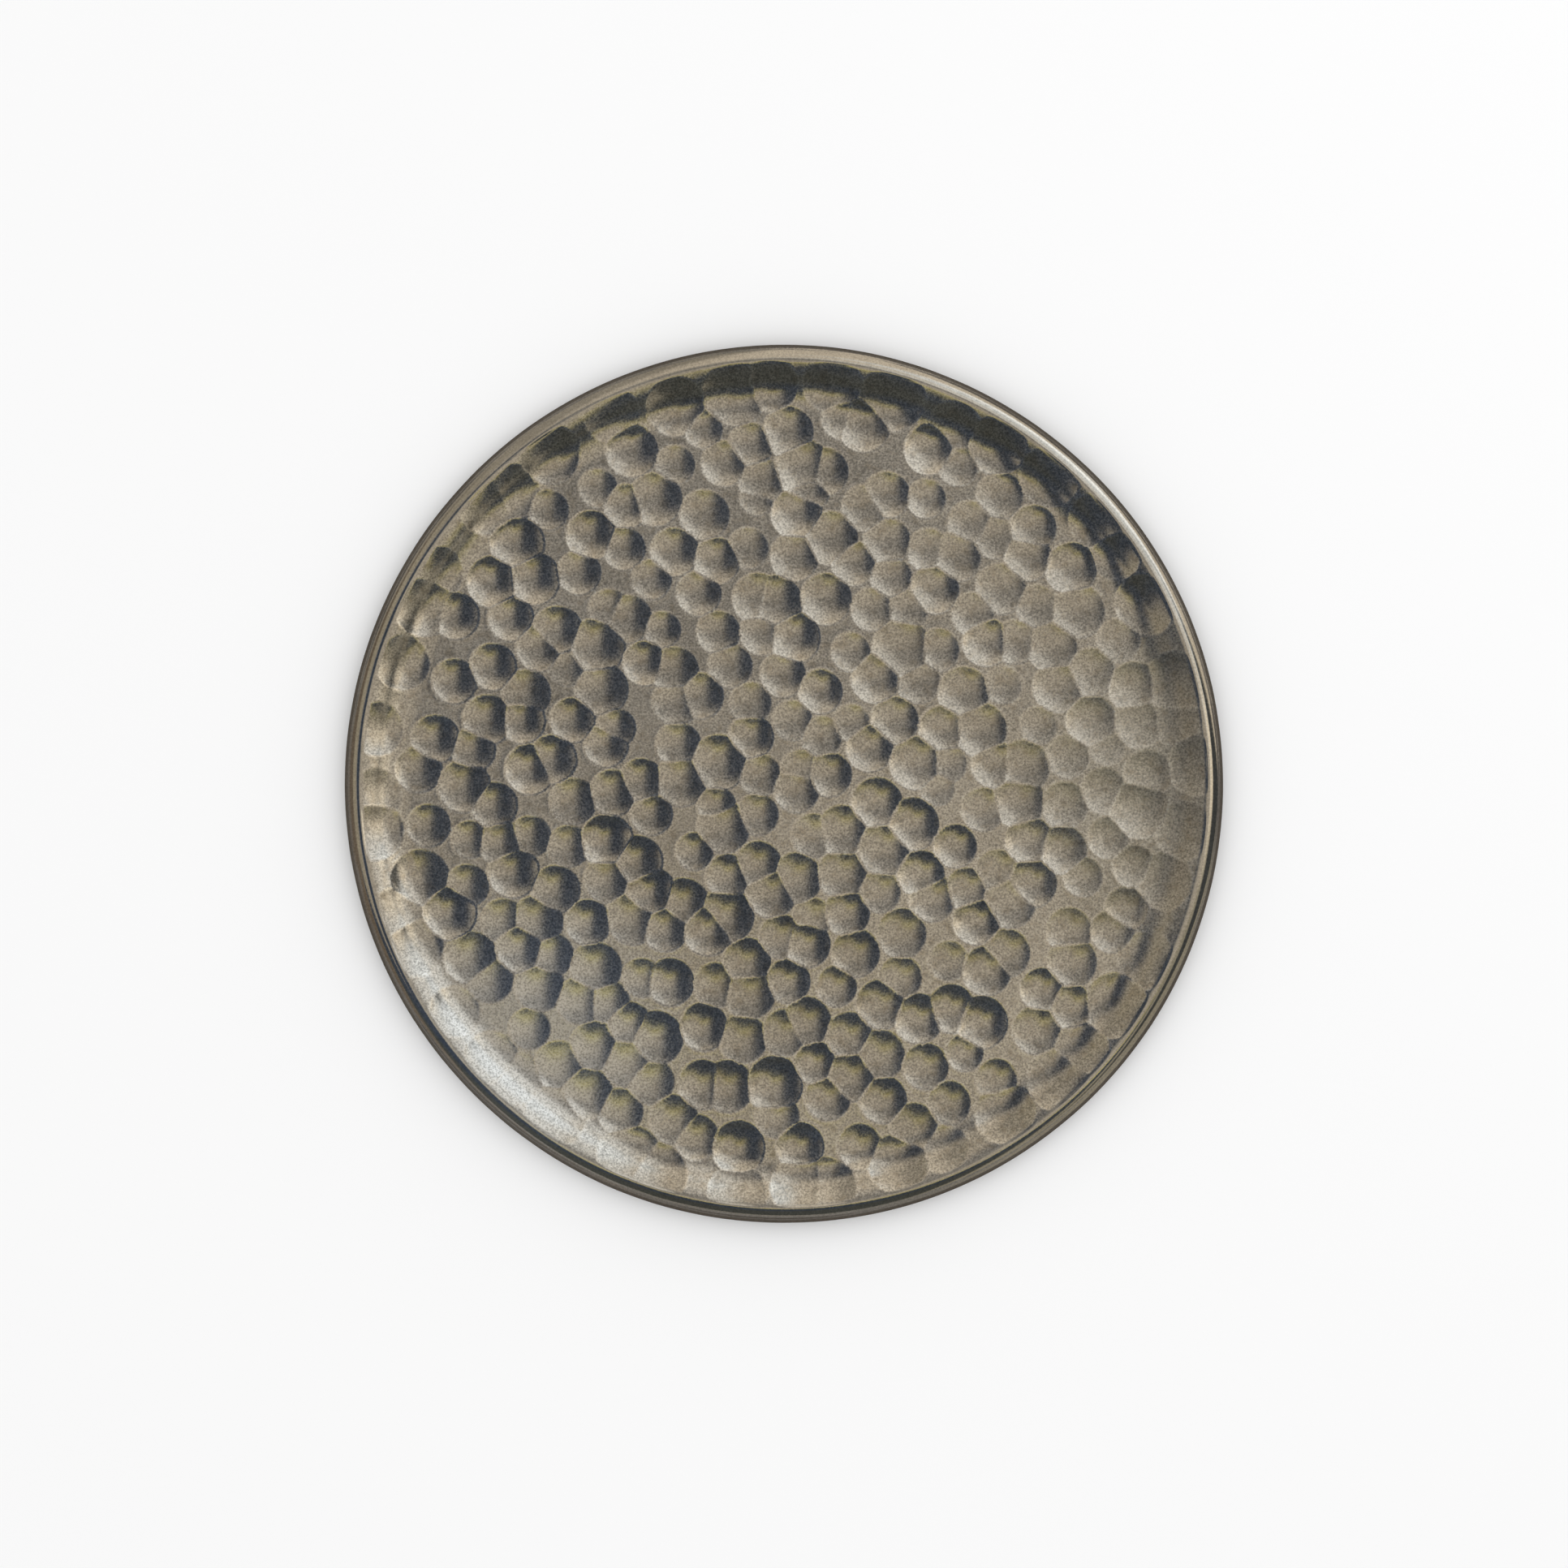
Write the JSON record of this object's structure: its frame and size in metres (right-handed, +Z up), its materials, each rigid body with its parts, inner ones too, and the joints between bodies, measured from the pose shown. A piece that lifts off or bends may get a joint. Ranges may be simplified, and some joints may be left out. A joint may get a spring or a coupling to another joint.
{
  "type": "paten plate",
  "caption": "Round shallow metal paten with a ball-hammered face, a smooth outward-rolled rim over a wire, and a flat base.",
  "frame": {"origin": "centre of the flat base's underside, where the plate stands", "axes": "+Z up along the plate's axis, X and Y across it; the plate is round, so X and Y have no front"},
  "size_m": [0.152, 0.152, 0.0049],
  "materials": {
    "sheet_metal": "aged pewter, hammered, satin with a fine grain and darker patina in the hollows",
    "core_wire": "drawn wire, dull",
    "braze": "brazed joint, dull",
    "solder": "soft solder, dull and slightly lumpy"
  },
  "bodies": {
    "root": {"hammered_dish": "sheet_metal", "rim_wire": "core_wire", "wire_joint": "braze", "seam_solder": "solder"}
  },
  "joints": []
}
